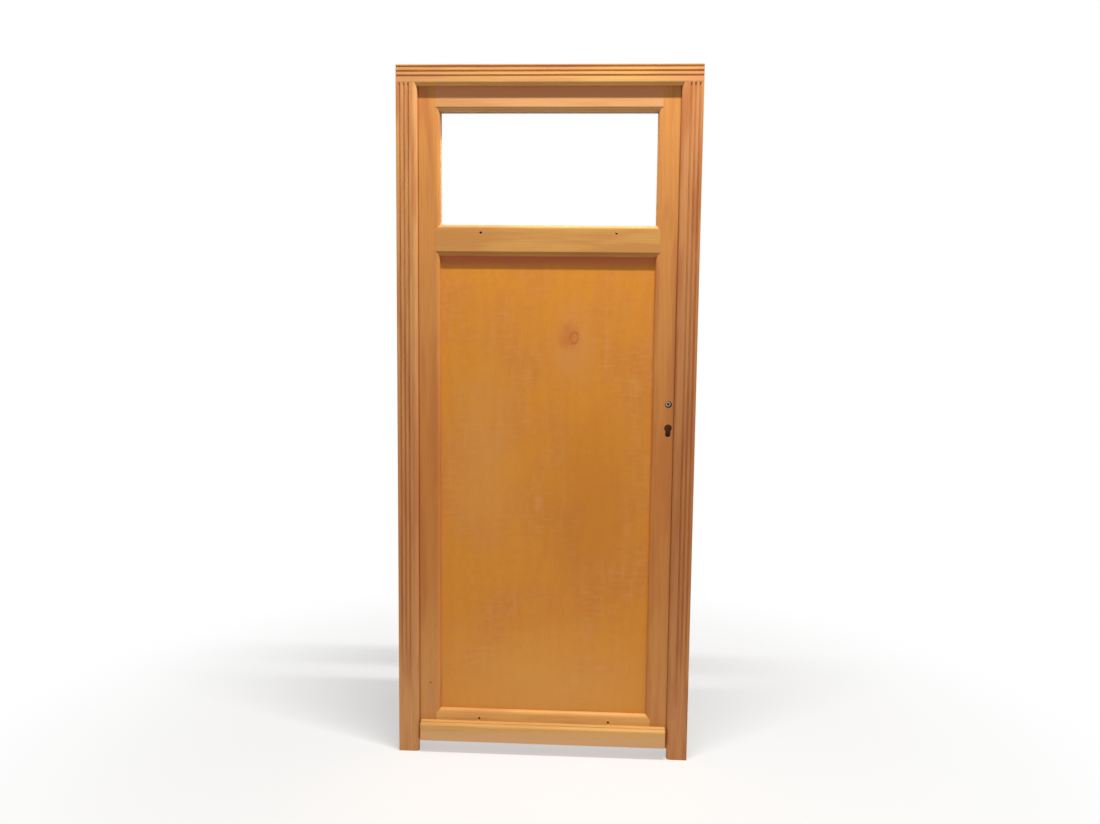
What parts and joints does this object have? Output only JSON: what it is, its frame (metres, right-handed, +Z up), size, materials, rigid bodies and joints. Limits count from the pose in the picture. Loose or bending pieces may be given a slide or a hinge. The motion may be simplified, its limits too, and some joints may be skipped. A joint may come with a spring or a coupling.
{
  "type": "glazed wooden back door in frame",
  "caption": "Part-glazed wooden back door with a plywood lower panel and a weatherboard, hung on butt hinges in a reeded timber frame, with a mortise lock that has no handle fitted.",
  "frame": {"origin": "floor level under the feet of the posts, midway across the width and the depth of the frame", "axes": "+X to the lock side seen from outside, +Y from the outer face inwards, +Z up"},
  "size_m": [0.912, 0.0826, 2.125],
  "materials": {
    "frame_wood": "satin varnished softwood",
    "leaf_wood": "satin varnished softwood",
    "panel_wood": "satin varnished plywood",
    "bead_wood": "satin varnished softwood",
    "dowel_wood": "plain beech",
    "plate_steel": "zinc plated",
    "pin_steel": "bright turned",
    "bright_steel": "zinc plated",
    "lock_steel": "dark lacquered sheet",
    "bolt_metal": "nickel plated",
    "clear_glass": "clear float glass",
    "spacer_aluminium": "mill finish",
    "black_rubber": "matt black"
  },
  "bodies": {
    "frame": {"hinge_post": "frame_wood", "lock_post": "frame_wood", "head": "frame_wood", "hinge_side_seal": "black_rubber", "lock_side_seal": "black_rubber", "head_seal": "black_rubber", "top_hinge_frame_leaf": "plate_steel", "middle_hinge_frame_leaf": "plate_steel", "bottom_hinge_frame_leaf": "plate_steel", "top_hinge_pin": "pin_steel", "middle_hinge_pin": "pin_steel", "bottom_hinge_pin": "pin_steel", "hinge_frame_screws": "bright_steel", "strike_plate": "plate_steel", "strike_screws": "bright_steel"},
    "door": {"hinge_stile": "leaf_wood", "lock_stile": "leaf_wood", "top_rail": "leaf_wood", "middle_rail": "leaf_wood", "bottom_rail": "leaf_wood", "rail_dowels": "dowel_wood", "door_panel": "panel_wood", "panel_top_bead": "bead_wood", "panel_bottom_bead": "bead_wood", "panel_left_bead": "bead_wood", "panel_right_bead": "bead_wood", "outer_pane": "clear_glass", "inner_pane": "clear_glass", "glass_spacer": "spacer_aluminium", "glazing_tape": "black_rubber", "setting_blocks": "black_rubber", "glass_top_bead": "bead_wood", "glass_bottom_bead": "bead_wood", "glass_left_bead": "bead_wood", "glass_right_bead": "bead_wood", "bead_pins": "bright_steel", "weatherboard": "leaf_wood", "top_hinge_door_leaf": "plate_steel", "middle_hinge_door_leaf": "plate_steel", "bottom_hinge_door_leaf": "plate_steel", "hinge_door_screws": "bright_steel", "lock_body": "lock_steel", "lock_cover": "lock_steel", "lock_forend": "plate_steel", "forend_screws": "bright_steel", "latch_spring": "bright_steel"},
    "follower": {"lock_follower": "bolt_metal"},
    "latch": {"latch_bolt": "bolt_metal"},
    "bolt": {"dead_bolt": "bolt_metal"}
  },
  "joints": [
    {"name": "door_swing", "type": "hinge", "parent": "frame", "child": "door", "pos_m": [-0.4065, 0.0376, 0], "axis": [0, 0, 1], "range_deg": [0, 170]},
    {"name": "latch_slide", "type": "slide", "parent": "door", "child": "latch", "axis": [-1, 0, 0], "range_m": [0, 0.0115], "stiffness_N_per_m": 250, "springref_m": -0.012, "deforming": ["latch_spring"]},
    {"name": "follower_turn", "type": "hinge", "parent": "door", "child": "follower", "pos_m": [0.375, 0.008, 1.122], "axis": [0, -1, 0], "range_deg": [0, 40]},
    {"name": "bolt_slide", "type": "slide", "parent": "door", "child": "bolt", "axis": [1, 0, 0], "range_m": [0, 0.02]}
  ],
  "couplings": [
    {"joint": "follower_turn", "follows": "latch_slide", "rad_per_m": 60.6}
  ]
}
